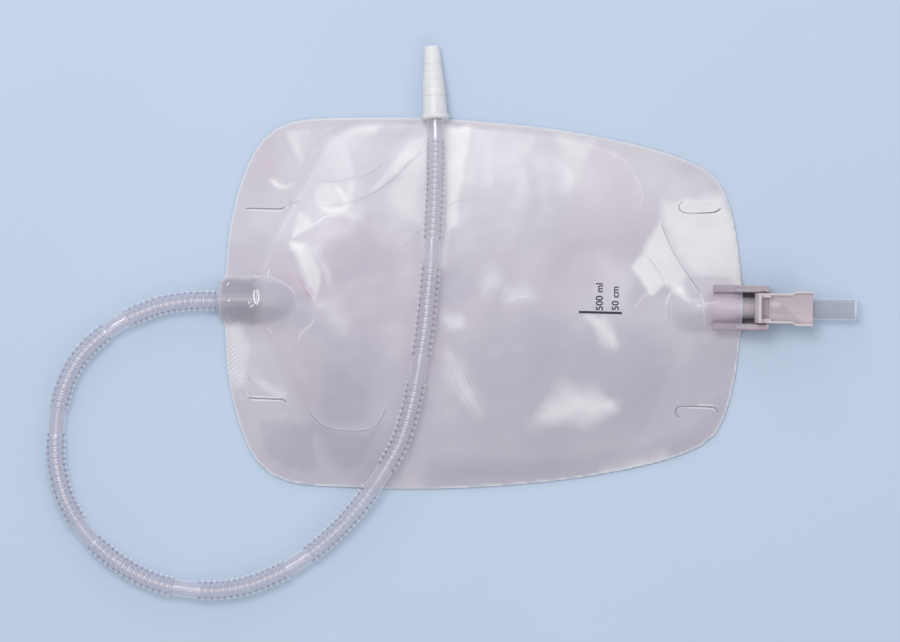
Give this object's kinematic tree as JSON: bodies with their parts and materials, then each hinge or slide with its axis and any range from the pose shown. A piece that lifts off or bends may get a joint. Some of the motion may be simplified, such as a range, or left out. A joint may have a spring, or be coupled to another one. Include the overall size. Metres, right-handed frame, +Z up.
{
  "type": "urine drainage bag",
  "caption": "Leg-worn urine drainage bag of welded clear film, with an inlet port, corrugated hose, stepped connector and an outlet tube closed by a folding lever tap.",
  "frame": {"origin": "on the surface the bag lies on, under the middle of the bag with its port and outlet tube, the hose and connector left out", "axes": "+X from the inlet port to the outlet tube, +Y across the bag towards the hose's connector, +Z up through the front film"},
  "size_m": [0.3826, 0.2639, 0.0215],
  "materials": {
    "film": "semi-gloss milky vinyl film",
    "valve_film": "thin clear film",
    "port_plastic": "clear moulded vinyl",
    "hose_plastic": "clear corrugated vinyl",
    "connector_plastic": "white moulded plastic",
    "soft_tube": "soft clear tube",
    "tap_plastic": "satin moulded plastic",
    "lever_plastic": "satin moulded plastic"
  },
  "bodies": {
    "bag": {"back_film": "film", "front_film": "film", "non_return_valve": "valve_film", "inlet_port": "port_plastic", "inlet_hose": "hose_plastic", "stepped_connector": "connector_plastic", "outlet_tube": "soft_tube", "tap_frame": "tap_plastic"},
    "lever": {"tap_lever": "lever_plastic"}
  },
  "joints": [
    {"name": "lever_fold", "type": "hinge", "parent": "bag", "child": "lever", "pos_m": [0.1067, 0, 0.0124], "axis": [0, -1, 0], "range_deg": [0, 180], "deforming": ["outlet_tube"]}
  ]
}
